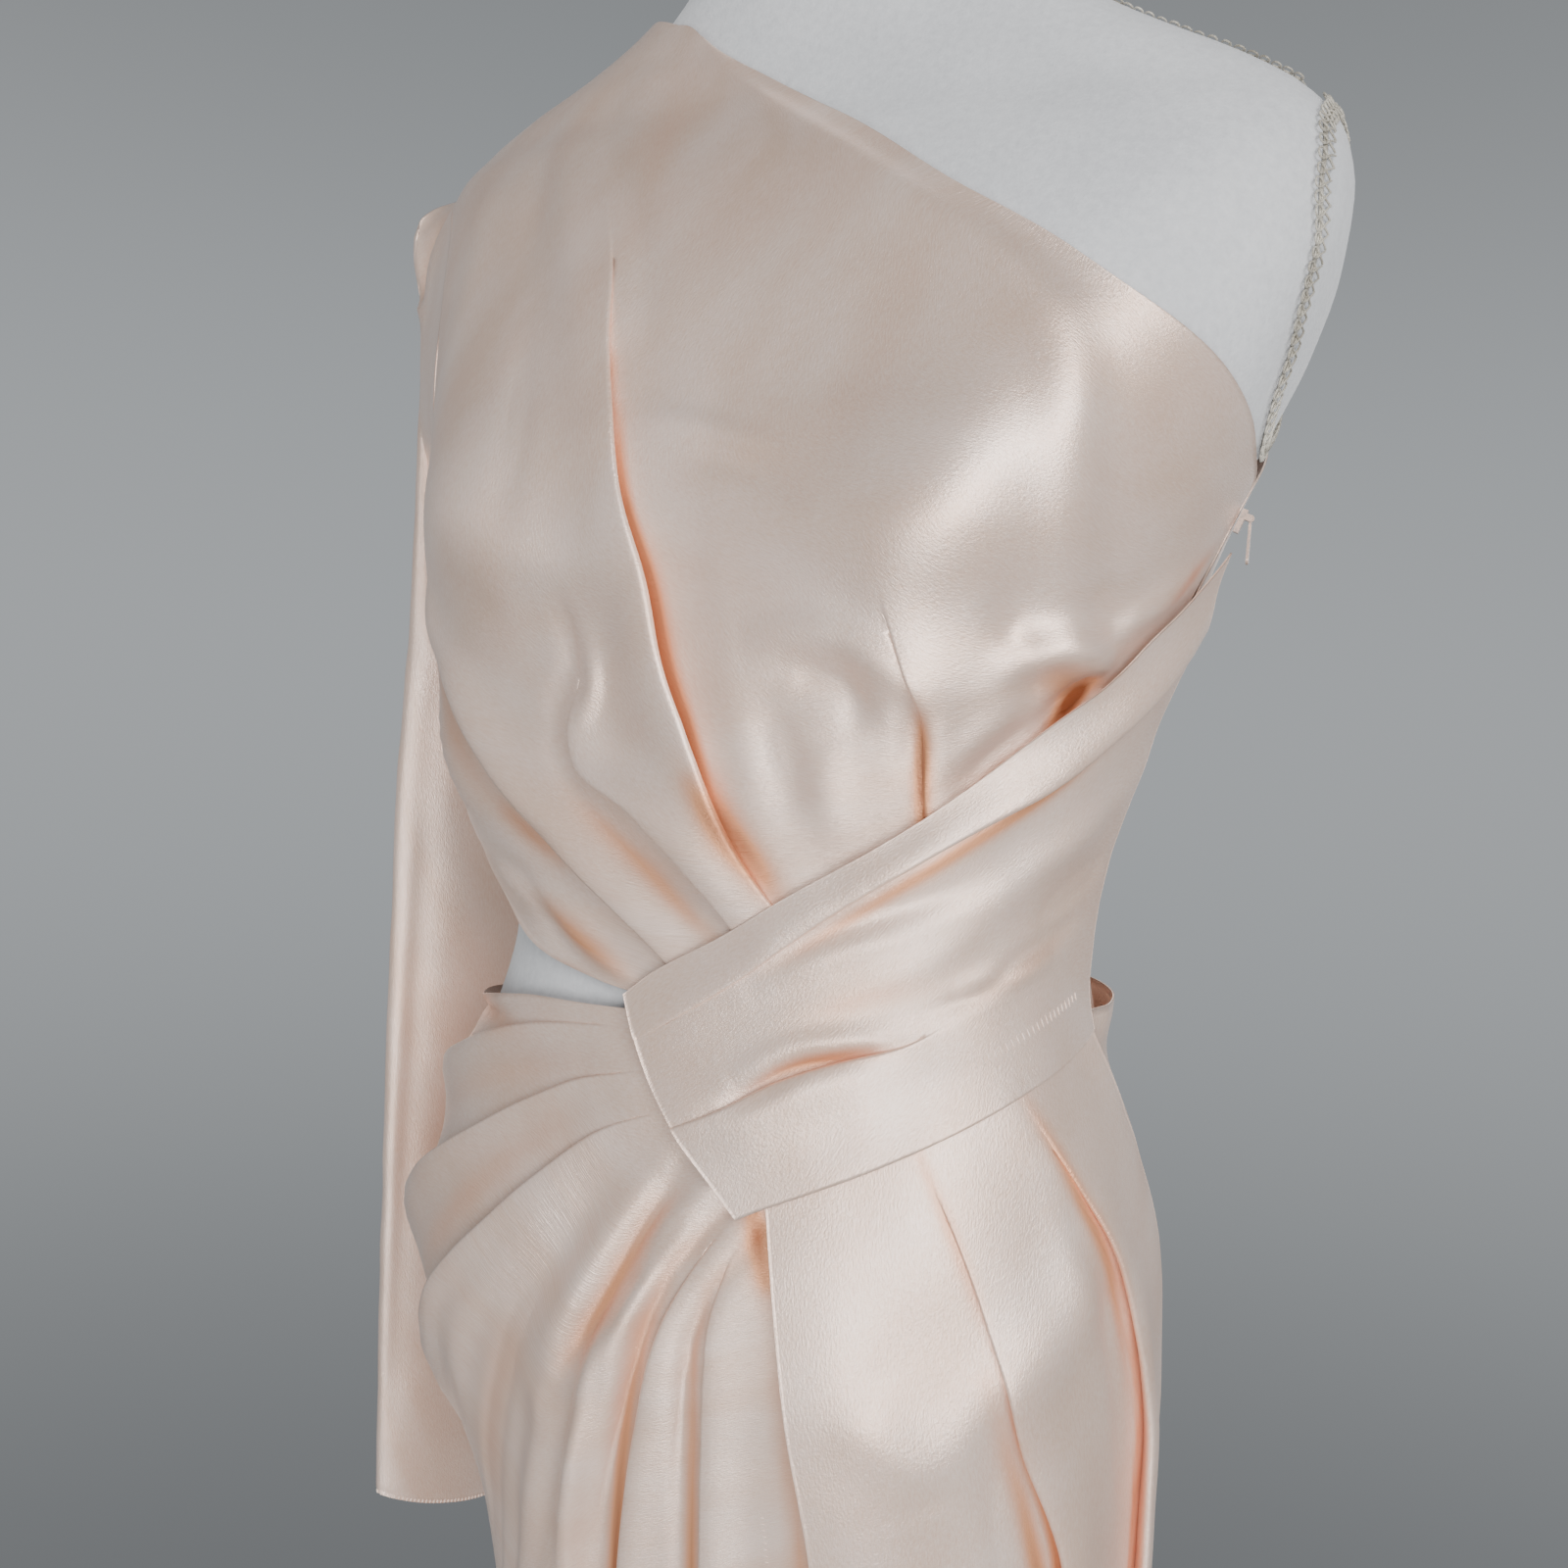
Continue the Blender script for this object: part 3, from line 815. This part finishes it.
WRAP_CREASES = [
    (4, 14, [(74, 988), (66, 966), (57, 948), (49, 934), (42, 910), (38, 893)]),
    (3, 12, [(38, 893), (33, 912), (28, 932)]),
    (-3, 9, [(45, 940), (50, 900), (56, 850), (62, 790)]),
    (-3, 7, [(66, 986), (73, 952), (78, 915), (80, 870)]),
    (1.5, 14, [(24, 970), (28, 900), (34, 820)]),
    (-1.5, 12, [(40, 880), (46, 820), (50, 720)]),
    (2, 12, [(64, 800), (68, 700), (70, 580)]),
    (-1.5, 10, [(80, 860), (82, 740), (82, 620)]),
    (1.2, 8, [(60, 1000), (64, 960), (68, 920)]),
    (4, 11, [(84, 1072), (88, 1052), (92, 1034), (97, 1010)]),
]
WRAP_WARMTH = [
    (1.2, 4, [(46, 938), (50, 912), (55, 880), (60, 840), (65, 760), (69, 640)]),
    (0.9, 3.2, [(59, 1034), (65, 1002), (70, 980), (75, 955), (79, 925)]),
    (0.5, 2.4, [(36, 1020), (41, 986), (46, 950)]),
]
skirt_wrap = shell("wrap_skirt", drape(SKIRT_WRAP, 200, [30, 30, 30, 26], layer=2.6,
                                       lapped=(1, 6, 6), creases=WRAP_CREASES,
                                      warmth=WRAP_WARMTH), "skirt_wrap")


# Skirt back: a plain panel from the sleeved side seam to the zip seam. Its top edge stands
# off the waist in an open roll, and it hangs in soft folds of uneven width.
SKIRT_BACK = [
    ((0, 0, 0), 10, 0, [(BACK_EDGE, 1022), (BACK_EDGE, 960), (BACK_EDGE, 860), (BACK_EDGE, 700),
        (BACK_EDGE, HEM)]),
    ((0, 3, 3), 16, 0, [(-120, 1032), (-116, 960), (-114, 860), (-112, 700), (-110, HEM)]),
    ((0, 4, 5), 18, 0, [(-156, WAIST), (-150, 960), (-146, 860), (-143, 700), (-140, HEM)]),
    ((0, 3, 4), 18, 0, [(-200, WAIST), (-196, 960), (-192, 860), (-188, 700), (-184, HEM)]),
    ((0, 4, 5), 16, 0, [(-238, WAIST), (-234, 960), (-230, 860), (-227, 700), (-224, HEM)]),
    ((0, 0, 0), 10, 0, [(-272 + SEAM, WAIST), (-264 + SEAM, 1010), (-260 + SEAM, 960), (-260 + SEAM, 900),
        (-261 + SEAM, 700), (-262 + SEAM, HEM)]),
]
TAIL_CREASES = [
    (2.5, 10, [(-150, 1000), (-176, 968), (-204, 960)]),
    (-2, 8, [(-146, 972), (-172, 946), (-200, 938)]),
    (2.2, 9, [(-254, 960), (-232, 940), (-208, 936)]),
    (-1.8, 8, [(-252, 930), (-230, 914), (-210, 908)]),
    (3, 14, [(-222, 840), (-218, 700), (-220, 560)]),
    (-2.5, 12, [(-204, 820), (-202, 680), (-206, 520)]),
    (2.5, 12, [(-160, 760), (-156, 640), (-150, 470)]),
    (1.5, 7, [(-140, 560), (-160, 540), (-182, 548)]),
    (2.5, 14, [(-132, 1000), (-130, 900), (-128, 780)]),
    (-2.5, 12, [(-172, 980), (-168, 860), (-164, 700)]),
    (2, 13, [(-214, 900), (-210, 780), (-208, 620)]),
    (-2.5, 12, [(-250, 940), (-246, 820), (-244, 660)]),
    (1.5, 9, [(-184, 1030), (-200, 1016), (-222, 1010)]),
    (-1.5, 8, [(-150, 1012), (-170, 1000), (-190, 996)]),
]
skirt_back = shell("back_skirt", drape(SKIRT_BACK, 190, [26, 30, 34, 30, 28], stand=9.0,
                                       creases=TAIL_CREASES), "skirt_back")


# Gimp braid: a scroll braid of rayon cord glued round the form's bare armhole and along the
# shoulder. Its inner half is a row of curls, its outer half two cords that cross.
gimp, tree, shader = new_material("Gimp braid, silver beige rayon", Roughness=0.42,
                                  Sheen_Weight=0.2)
place = add(tree, "ShaderNodeTexCoord").outputs["Object"]
twist = add(tree, "ShaderNodeTexNoise", inputs={"Vector": place, "Scale": 1 / 0.0006, "Detail": 2.0})
worn = add(tree, "ShaderNodeTexNoise", inputs={"Vector": place, "Scale": 1 / 0.02})
mixed = add(tree, "ShaderNodeMath", {"operation": "ADD"},
            {0: twist.outputs["Fac"], 1: worn.outputs["Fac"]})
tree.links.new(shade_between(tree, mixed.outputs[0], 0.7, 1.3, "857E70", "D2CCBE"),
               shader.inputs["Base Color"])
bump = add(tree, "ShaderNodeBump", inputs={"Strength": 0.6, "Distance": 0.0002,
                                           "Height": twist.outputs["Fac"]})
tree.links.new(bump.outputs[0], shader.inputs["Normal"])

BRAID_PITCH = 4.2     # from one curl to the next
BAND_HALF, BAND_RISE, BAND_FOOT = 0.9, 0.9, 0.35    # half width, top and underside of the core
LOOP_RADIUS, CORD_RADIUS = 1.8, 0.38    # of a curl, and of the cord it is laid in


def node_group(name, sizes, result):
    """A Geometry Nodes group with float inputs, and one new instance at each point whose
    'knot' attribute is on, turned by the point's 'out' and 'along' attributes."""
    group = bpy.data.node_groups.new(name, "GeometryNodeTree")
    group.interface.new_socket("Geometry", in_out="INPUT", socket_type="NodeSocketGeometry")
    for size in sizes:
        group.interface.new_socket(size, in_out="INPUT", socket_type="NodeSocketFloat")
    group.interface.new_socket("Geometry", in_out="OUTPUT", socket_type="NodeSocketGeometry")
    given = group.nodes.new("NodeGroupInput")
    unit, material = result(group, given)
    out, along, knot = (add(group, "GeometryNodeInputNamedAttribute", {"data_type": kind},
                            {"Name": key}).outputs[0]
                        for kind, key in (("FLOAT_VECTOR", "out"), ("FLOAT_VECTOR", "along"),
                                          ("BOOLEAN", "knot")))
    turned = add(group, "FunctionNodeAxesToRotation",
                 {"primary_axis": "Z", "secondary_axis": "X"}, {0: out, 1: along})
    uneven = add(group, "FunctionNodeRandomValue", {"data_type": "FLOAT_VECTOR"},
                 {0: (0.9, 0.92, 0.9), 1: (1.1, 1.08, 1.1), "Seed": 7})
    placed = add(group, "GeometryNodeInstanceOnPoints",
                 inputs={"Points": given.outputs["Geometry"], "Selection": knot,
                         "Instance": unit, "Rotation": turned.outputs[0],
                         "Scale": uneven.outputs[0]})
    joined = group.nodes.new("GeometryNodeJoinGeometry")
    group.links.new(given.outputs["Geometry"], joined.inputs[0])
    group.links.new(placed.outputs[0], joined.inputs[0])
    real = add(group, "GeometryNodeRealizeInstances", inputs={0: joined.outputs[0]})
    painted = add(group, "GeometryNodeSetMaterial",
                  inputs={"Geometry": real.outputs[0], "Material": material})
    end = group.nodes.new("NodeGroupOutput")
    group.links.new(painted.outputs[0], end.inputs[0])
    return group


def applied(name, points, faces, out, along, knots, group, values):
    """Run a group on a mesh of points in millimetres and keep the result as plain mesh."""
    mesh = bpy.data.meshes.new(name)
    mesh.from_pydata((np.asarray(points) * MM).tolist(), [], faces)
    for key, vectors in (("out", out), ("along", along)):
        held = mesh.attributes.new(key, "FLOAT_VECTOR", "POINT")
        held.data.foreach_set("vector", np.asarray(vectors, np.float32).ravel())
    held = mesh.attributes.new("knot", "BOOLEAN", "POINT")
    held.data.foreach_set("value", np.asarray(knots, bool))
    source = bpy.data.objects.new(name + "_source", mesh)
    bpy.context.scene.collection.objects.link(source)
    nodes = source.modifiers.new("nodes", "NODES")
    nodes.node_group = group
    for item in group.interface.items_tree:
        if item.item_type == "SOCKET" and item.in_out == "INPUT" and item.name in values:
            nodes[item.identifier] = values[item.name] * MM
    evaluated = source.evaluated_get(bpy.context.evaluated_depsgraph_get())
    result = bpy.data.meshes.new_from_object(evaluated)
    result.shade_smooth()
    bpy.data.objects.remove(source, do_unlink=True)
    made = bpy.data.objects.new(name, result)
    bpy.context.scene.collection.objects.link(made)
    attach(made, BODY)
    return made


def curl_and_cross(group, given):
    """One repeat of the braid: a curl to one side, and two crossed cords to the other."""
    profile = add(group, "GeometryNodeCurvePrimitiveCircle",
                  inputs={"Resolution": 6, "Radius": given.outputs["Cord radius"]})
    ring = add(group, "GeometryNodeCurvePrimitiveCircle",
               inputs={"Resolution": 14, "Radius": given.outputs["Loop radius"]})
    curl = add(group, "GeometryNodeTransform",
               inputs={"Geometry": ring.outputs[0], "Translation": (0, 2.4 * MM, 0.7 * MM),
                       "Rotation": (0.18, 0.0, 0.5), "Scale": (1.05, 1.3, 1)})
    cords = [curl.outputs[0]]
    for lean, rise in ((1, 0.9), (-1, 0.5)):
        path = add(group, "GeometryNodeCurvePrimitiveBezierSegment",
                   inputs={"Resolution": 7, "Start": (-1.6 * lean * MM, 1.0 * MM, rise * MM),
                           "Start Handle": (0.2 * lean * MM, 0.2 * MM, (rise + 0.5) * MM),
                           "End Handle": (1.2 * lean * MM, -2.2 * MM, (rise + 0.4) * MM),
                           "End": (2.3 * lean * MM, -4.2 * MM, 0.3 * MM)})
        cords.append(path.outputs[0])
    joined = group.nodes.new("GeometryNodeJoinGeometry")
    for curve in cords:
        group.links.new(curve, joined.inputs[0])
    swept = add(group, "GeometryNodeCurveToMesh",
                inputs={"Curve": joined.outputs[0], "Profile Curve": profile.outputs[0],
                        "Fill Caps": True})
    return swept.outputs[0], gimp


braid_group = node_group("gimp_repeat", ("Loop radius", "Cord radius"), curl_and_cross)


def braid(name, line, node, closed, inward):
    """Lay the braid's narrow band along a line on the form and set a curl at each pitch."""
    length = distance_along(figure(FORM, *guide(line, 200)))[-1]
    count = 2 * int(length / BRAID_PITCH) + (0 if closed else 1)
    turn, height = guide(line, count + 1 if closed else count)
    turn, height = (turn[:-1], height[:-1]) if closed else (turn, height)
    middle, out = figure(FORM, turn, height), outward(FORM, turn, height)
    if closed:
        along = np.roll(middle, -1, axis=0) - np.roll(middle, 1, axis=0)
    else:
        along = np.gradient(middle, axis=0)
    along /= np.linalg.norm(along, axis=1, keepdims=True)
    side = np.cross(out, along)
    if (side * (inward - middle)).sum() < 0:
        side, along = -side, -along
    ring = [(-1, BAND_RISE), (0, BAND_RISE), (1, BAND_RISE), (1, BAND_FOOT), (-1, BAND_FOOT)]
    sides = len(ring)
    band = np.array([middle + side * a * BAND_HALF + out * rise for a, rise in ring])
    band = band.transpose(1, 0, 2)
    faces = []
    for j in range(count if closed else count - 1):
        n = (j + 1) % count
        faces += [(j * sides + i, n * sides + i, n * sides + (i + 1) % sides,
                   j * sides + (i + 1) % sides) for i in range(sides)]
    if not closed:
        last = (count - 1) * sides
        faces += [tuple(range(sides)), tuple(range(last, last + sides))[::-1]]
    knots = np.zeros((count, sides), bool)
    knots[::2, 1] = True
    made = applied(name, band.reshape(-1, 3), faces, np.repeat(out, sides, axis=0),
                   np.repeat(along, sides, axis=0), knots.ravel(), braid_group,
                   {"Loop radius": LOOP_RADIUS, "Cord radius": CORD_RADIUS})
    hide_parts(node)


chest = figure(FORM, 30, 1330)
braid("shoulder_gimp", [(90, 1470), (90, 1452), (90, 1430), (90, 1416), (90, 1402),
                        (90, 1394)], "braid_shoulder", False, chest)
braid("armhole_gimp", [(90, 1384), (74, 1371), (72, 1352), (75, 1332), (77, 1312),
                       (81, 1294), (86, 1278), (96, 1266), (108, 1276), (120, 1296),
                       (128, 1320), (128, 1345), (118, 1367), (90, 1384)], "braid_armhole",
      True, chest)


# Zip: concealed, in the seam of the bare side, with a small teardrop pull that is painted to
# match the satin. The paint is thin, so the zinc shows faintly grey where it is rubbed.
zinc, tree, shader = new_material("Painted zinc, blush", Metallic=0.35)
place = add(tree, "ShaderNodeTexCoord").outputs["Object"]
rubbed = add(tree, "ShaderNodeTexNoise", inputs={"Vector": place, "Scale": 1 / 0.002, "Detail": 4.0})
tree.links.new(shade_between(tree, rubbed.outputs["Fac"], 0.5, 0.75, "C9B0A2", "8F8984"),
               shader.inputs["Base Color"])
gloss = add(tree, "ShaderNodeMapRange", inputs={"Value": rubbed.outputs["Fac"], "To Min": 0.22,
                                                "To Max": 0.45})
tree.links.new(gloss.outputs[0], shader.inputs["Roughness"])
for node in ("zip_slider", "zip_pull"):
    for kept in bpy.data.objects[node].material_slots:
        kept.material = zinc


# Sewing: polyester thread in the satin's own blush. The cuff and hems have one row of lock
# stitches, and the sash's facing and the wrap's edge show rows pricked through.
thread, tree, shader = new_material("Polyester thread, blush", Roughness=0.5, Sheen_Weight=0.3)
place = add(tree, "ShaderNodeTexCoord").outputs["Object"]
plies = add(tree, "ShaderNodeTexNoise", inputs={"Vector": place, "Scale": 1 / 0.0005})
tree.links.new(shade_between(tree, plies.outputs["Fac"], 0.3, 0.7, "E9CDBB", "FBEADF"),
               shader.inputs["Base Color"])


def one_stitch(group, given):
    """A stitch: a short rounded bar of thread."""
    ball = add(group, "GeometryNodeMeshUVSphere", inputs={"Segments": 6, "Rings": 5, "Radius": 0.5})
    size = add(group, "ShaderNodeCombineXYZ", inputs={0: given.outputs["Length"],
                                                      1: given.outputs["Thickness"],
                                                      2: given.outputs["Thickness"]})
    drawn = add(group, "GeometryNodeTransform", inputs={"Geometry": ball.outputs[0],
                                                        "Scale": size.outputs[0]})
    return drawn.outputs[0], thread


stitch_group = node_group("lock_stitch", ("Length", "Thickness"), one_stitch)


def sewn(name, cloth, starts, aims, across=False, length=2.4, thick=0.5, proud=0.05):
    """Lay stitches on the outer face of a piece of cloth, where rays from `starts` along
    `aims` meet it, in a row or across it."""
    skin = BVHTree.FromPolygons([v.co for v in cloth.data.vertices],
                                [p.vertices for p in cloth.data.polygons])
    hits = [skin.ray_cast(Vector(start) * MM, Vector(aim)) for start, aim in zip(starts, aims)]
    spots = np.array([hit[0] for hit in hits if hit[0]]) / MM
    out = np.array([-Vector(aim).normalized() for aim, hit in zip(aims, hits) if hit[0]])
    along = np.gradient(spots, axis=0)
    along /= np.linalg.norm(along, axis=1, keepdims=True)
    along = np.cross(out, along) if across else along
    made = applied(name, spots + out * proud, [], out, along, np.ones(len(spots)), stitch_group,
                   {"Length": length, "Thickness": thick})


def over_line(line, pitch, away=60):
    """Starts and aims of rays that meet the dress along a line of (turn, height)."""
    length = distance_along(figure(DRESS, *guide(line, 60)))[-1]
    turn, height = guide(line, int(length / pitch))
    out = outward(DRESS, turn, height)
    return figure(DRESS, turn, height) + out * away, -out


def round_cuff(pitch, above=1.2, away=4.0):
    """Starts and aims of rays that meet the sleeve just above its edge."""
    last = len(sleeve.data.vertices) // 2 - SLEEVE_SIDES
    edge = np.array([v.co for v in sleeve.data.vertices[last:last + SLEEVE_SIDES]]) / MM
    facing = np.array([v.normal for v in sleeve.data.vertices[last - 2 * SLEEVE_SIDES:
                                                              last - SLEEVE_SIDES]])
    both = np.column_stack([edge, facing])
    both = np.vstack([both, both[:1]])
    run = distance_along(both[:, :3])
    at = np.arange(0, run[-1], pitch)
    both = np.stack([np.interp(at, run, column) for column in both.T], -1)
    return both[:, :3] + both[:, 3:] * away + np.array([0, 0, above]), -both[:, 3:]


STITCH_PITCH, HEM_ROW = 3.1, HEM + 12
sewn("cuff_stitches", sleeve, *round_cuff(2.3), across=True, length=2.2, thick=1.0)
for name, cloth, turns in (("drape_hem_stitches", skirt_drape, (FRONT_EDGE + 1, -40, 14)),
                           ("wrap_hem_stitches", skirt_wrap, (32, 60, 97)),
                           ("back_hem_stitches", skirt_back, (BACK_EDGE - 1, -180, -260))):
    sewn(name, cloth, *over_line([(turn, HEM_ROW) for turn in turns], STITCH_PITCH))
sewn("wrap_edge_stitches", skirt_drape,
     *over_line([(16, 874), (17.5, 830), (18.5, 790), (20, 700), (22, 560), (24, 446)], 2.4),
     across=True, length=1.8, thick=0.35)
sewn("sash_facing_stitches", sash, *over_line([(50, 1040), (66, 1052), (79, 1060)], 2.3),
     across=True, length=4.0, thick=0.5)


# Floor, light and camera: a plain pale floor, a pale grey room that is darkest overhead, a
# large soft light from the right and a bounce from below as in the photo, a weak one from
# behind, and the camera close to the form at bust height.
paper, tree, shader = new_material("Matt paper, pale grey", Roughness=0.95,
                                   Base_Color=linear("C9CCCE"))
bpy.ops.mesh.primitive_circle_add(vertices=96, radius=1.15, fill_type="NGON")
floor = bpy.context.object
floor.name = "floor"
floor.data.materials.append(paper)

world = bpy.data.worlds.new("studio")
bpy.context.scene.world = world
world.use_nodes = True
tree = world.node_tree
toward = add(tree, "ShaderNodeTexCoord").outputs["Generated"]
height = add(tree, "ShaderNodeSeparateXYZ", inputs={0: toward}).outputs["Z"]
room = add(tree, "ShaderNodeFloatCurve", inputs={"Value": height})
ROOM = [(-1.0, 0.12), (-0.5, 0.26), (-0.05, 0.61), (0.12, 0.6), (0.4, 0.4), (1.0, 0.06)]
curve = room.mapping.curves[0]
room.mapping.clip_min_x = -1
curve.points[0].location, curve.points[1].location = ROOM[0], ROOM[-1]
for level, bright in ROOM[1:-1]:
    curve.points.new(level, bright)
room.mapping.update()
background = tree.nodes["Background"]
background.inputs["Color"].default_value = linear("D2D7DB")
tree.links.new(room.outputs[0], background.inputs["Strength"])
LIGHTS = [
    ("window", 54, 1.3, (1.7, -1.7, 2.1)), ("bounce", 46, 1.4, (1.0, -2.3, 0.6)),
    ("behind", 14, 1.8, (0.4, 2.6, 2.2)),
]   # name, watts, width and place in metres
for name, energy, size, spot in LIGHTS:
    lamp = bpy.data.lights.new(name, "AREA")
    lamp.energy, lamp.size = energy, size
    holder = bpy.data.objects.new(name, lamp)
    holder.location = spot
    holder.rotation_euler = (Vector((0, 0, 1.15)) - Vector(spot)).to_track_quat("-Z", "Y").to_euler()
    bpy.context.scene.collection.objects.link(holder)

VIEW_TURN, VIEW_PITCH, VIEW_ROLL = 27.0, 3.4, 3.8      # degrees
VIEW_FAR, VIEW_HEIGHT, VIEW_ASIDE = 0.625, 1.164, -0.0085
PHOTO_FOCUS, PHOTO_SIZE, SENSOR = 1548.0, 1600.0, 36.0
a, e, r = (math.radians(v) for v in (VIEW_TURN, VIEW_PITCH, VIEW_ROLL))
level = Vector((math.cos(a), math.sin(a), 0))
ahead = Vector((-math.sin(a) * math.cos(e), math.cos(a) * math.cos(e), -math.sin(e)))
upright = level.cross(ahead)
eye = Vector((VIEW_FAR * math.sin(a), -VIEW_FAR * math.cos(a), VIEW_HEIGHT)) + level * VIEW_ASIDE
tilted = level * math.cos(r) + upright * math.sin(r)
up = upright * math.cos(r) - level * math.sin(r)
camera_data = bpy.data.cameras.new("camera")
camera_data.sensor_width = SENSOR
camera_data.lens = SENSOR * PHOTO_FOCUS / PHOTO_SIZE
camera_data.clip_start = 0.01
camera = bpy.data.objects.new("camera", camera_data)
bpy.context.scene.collection.objects.link(camera)
bpy.context.scene.camera = camera
placed = Matrix((tilted, up, -ahead)).transposed().to_4x4()
placed.translation = eye
camera.matrix_world = placed
